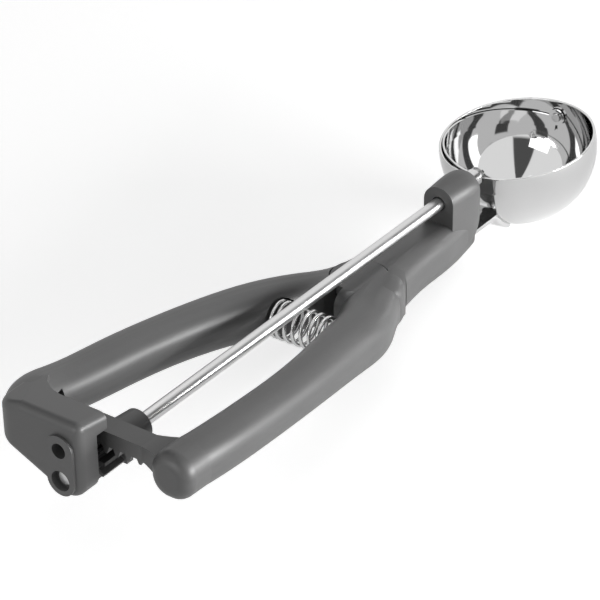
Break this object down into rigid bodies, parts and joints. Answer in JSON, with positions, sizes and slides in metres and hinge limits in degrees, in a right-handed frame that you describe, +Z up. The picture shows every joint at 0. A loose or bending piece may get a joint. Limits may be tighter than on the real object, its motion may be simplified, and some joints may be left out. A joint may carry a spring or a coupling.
{
  "type": "lever ice cream scoop",
  "caption": "Squeeze-handle ice cream scoop: round steel bowl with a sweeping half-ring blade turned by a rack, pinion and spindle from a sprung plastic lever.",
  "frame": {"origin": "bottom centre of the box round the scoop at rest, with the grips open", "axes": "+X along the spindle from the gear housing to the bowl, +Y towards the fixed left grip, +Z up out of the bowl's mouth"},
  "size_m": [0.2474, 0.0641, 0.043],
  "materials": {
    "handle_nylon": "satin moulded glass-filled nylon",
    "gear_nylon": "satin moulded",
    "polished_steel": "mirror polished stainless",
    "ground_steel": "centreless ground stainless",
    "drawn_steel": "drawn stainless",
    "spring_steel": "drawn spring wire"
  },
  "bodies": {
    "handle": {"main_handle": "handle_nylon", "bearing_insert": "handle_nylon", "hinge_pin": "drawn_steel", "hinge_cap": "drawn_steel", "hinge_washers": "drawn_steel", "collar_bush": "gear_nylon", "bowl": "polished_steel", "bowl_bracket": "polished_steel", "pivot_pin": "drawn_steel", "spring_seat_main": "handle_nylon", "return_spring": "spring_steel"},
    "lever": {"lever_handle": "handle_nylon", "gear_rack": "gear_nylon", "spring_seat_lever": "handle_nylon"},
    "spindle": {"spindle_rod": "ground_steel", "drive_pinion": "gear_nylon", "pinion_pin": "drawn_steel", "retaining_ring": "spring_steel", "blade_hub": "polished_steel", "blade": "polished_steel"}
  },
  "joints": [
    {"name": "lever_squeeze", "type": "hinge", "parent": "handle", "child": "lever", "pos_m": [0.011, 0.00259, 0.0127], "axis": [0, 0, -1], "range_deg": [0, 7.06], "stiffness_Nm_per_rad": 1.2, "springref_deg": -10.31, "deforming": ["return_spring"]},
    {"name": "spindle_turn", "type": "hinge", "parent": "handle", "child": "spindle", "pos_m": [-0.0915, 0.00259, 0.0248], "axis": [-1, 0, 0], "range_deg": [0, 170.2]}
  ],
  "couplings": [
    {"joint": "spindle_turn", "follows": "lever_squeeze", "ratio": 24.091}
  ]
}
